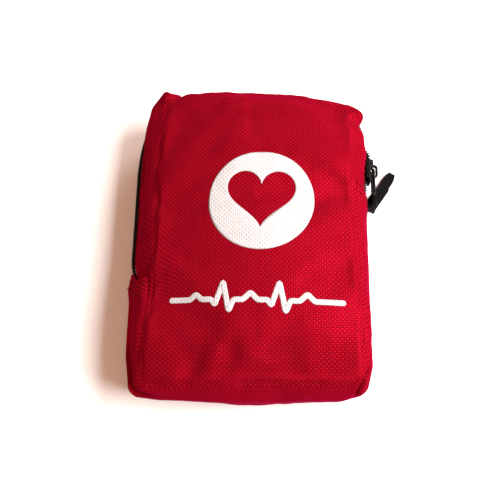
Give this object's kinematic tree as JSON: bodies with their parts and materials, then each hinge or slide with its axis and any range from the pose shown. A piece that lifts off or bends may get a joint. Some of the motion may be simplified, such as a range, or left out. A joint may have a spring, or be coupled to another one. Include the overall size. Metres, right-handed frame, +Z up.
{
  "type": "first aid kit",
  "caption": "Soft zipped first aid pouch lying on its back, packed, with a folding zip cover, slider with ribbon pull and belt loop.",
  "frame": {"origin": "middle of the belt loop's underside, on the surface that the pouch lies on", "axes": "+Z up, out of the front panel; +Y towards the top end, where the zip crosses; +X towards the side with the slider"},
  "size_m": [0.1255, 0.1432, 0.0466],
  "materials": {
    "shell_fabric": "coarse basket weave, coated inside",
    "zip_tape": "fine herringbone tape",
    "zip_coil": "extruded monofilament",
    "seam_binding": "plain binding tape",
    "webbing": "flat woven webbing",
    "black_metal": "black lacquer, worn at the edges",
    "pull_ribbon": "ribbed ribbon",
    "foil_sachet": "laminated foil",
    "clear_bag": "blue gloves under a thin bag",
    "plaster_wrap": "sealed paper",
    "bandage_wrap": "folded cotton in a thin bag",
    "gauze_wrap": "sealed medical paper",
    "crepe": "crepe weave",
    "white_plastic": "moulded",
    "sticking_tape": "fine cotton tape",
    "steel": "ground and polished",
    "handle_plastic": "moulded, fine texture"
  },
  "bodies": {
    "root": {"antiseptic_wipes": "foil_sachet", "back_gusset": "shell_fabric", "back_panel": "shell_fabric", "back_seam_binding": "seam_binding", "back_zip_coil": "zip_coil", "back_zip_tape": "zip_tape", "belt_loop": "webbing", "bottom_gusset": "shell_fabric", "front_gusset_held": "shell_fabric", "front_panel_lower": "shell_fabric", "front_seam_binding_held": "seam_binding", "front_zip_coil_held": "zip_coil", "front_zip_tape_held": "zip_tape", "gauze_swabs": "gauze_wrap", "large_bandage": "crepe", "lower_scissor_blade": "steel", "lower_scissor_handle": "handle_plastic", "nitrile_gloves": "clear_bag", "scissor_rivet": "steel", "small_bandage": "crepe", "sticking_plasters": "plaster_wrap", "tape_lid": "white_plastic", "tape_spool": "white_plastic", "tape_winding": "sticking_tape", "triangular_bandage": "bandage_wrap", "tweezers": "steel"},
    "cover": {"front_panel": "shell_fabric", "front_gusset": "shell_fabric", "front_zip_tape": "zip_tape", "front_zip_coil": "zip_coil", "front_seam_binding": "seam_binding"},
    "slider": {"zip_slider": "black_metal"},
    "puller": {"pull_ring": "black_metal", "pull_ribbon": "pull_ribbon"},
    "scissor_half": {"upper_scissor_blade": "steel", "upper_scissor_handle": "handle_plastic"}
  },
  "joints": [
    {"name": "cover_open", "type": "hinge", "parent": "root", "child": "cover", "pos_m": [0, 0.0187, 0.03953], "axis": [1, 0, 0], "range_deg": [0, 90]},
    {"name": "zip_slide", "type": "slide", "parent": "root", "child": "slider", "axis": [0, 1, 0], "range_m": [-0.007, 0.018]},
    {"name": "puller_swing", "type": "hinge", "parent": "slider", "child": "puller", "pos_m": [0.05655, 0.033, 0.023], "axis": [0, 0, 1], "range_deg": [0, 60]},
    {"name": "scissors_open", "type": "hinge", "parent": "root", "child": "scissor_half", "pos_m": [-0.004, 0.008, 0.032], "axis": [0, 0, -1], "range_deg": [0, 45]}
  ]
}
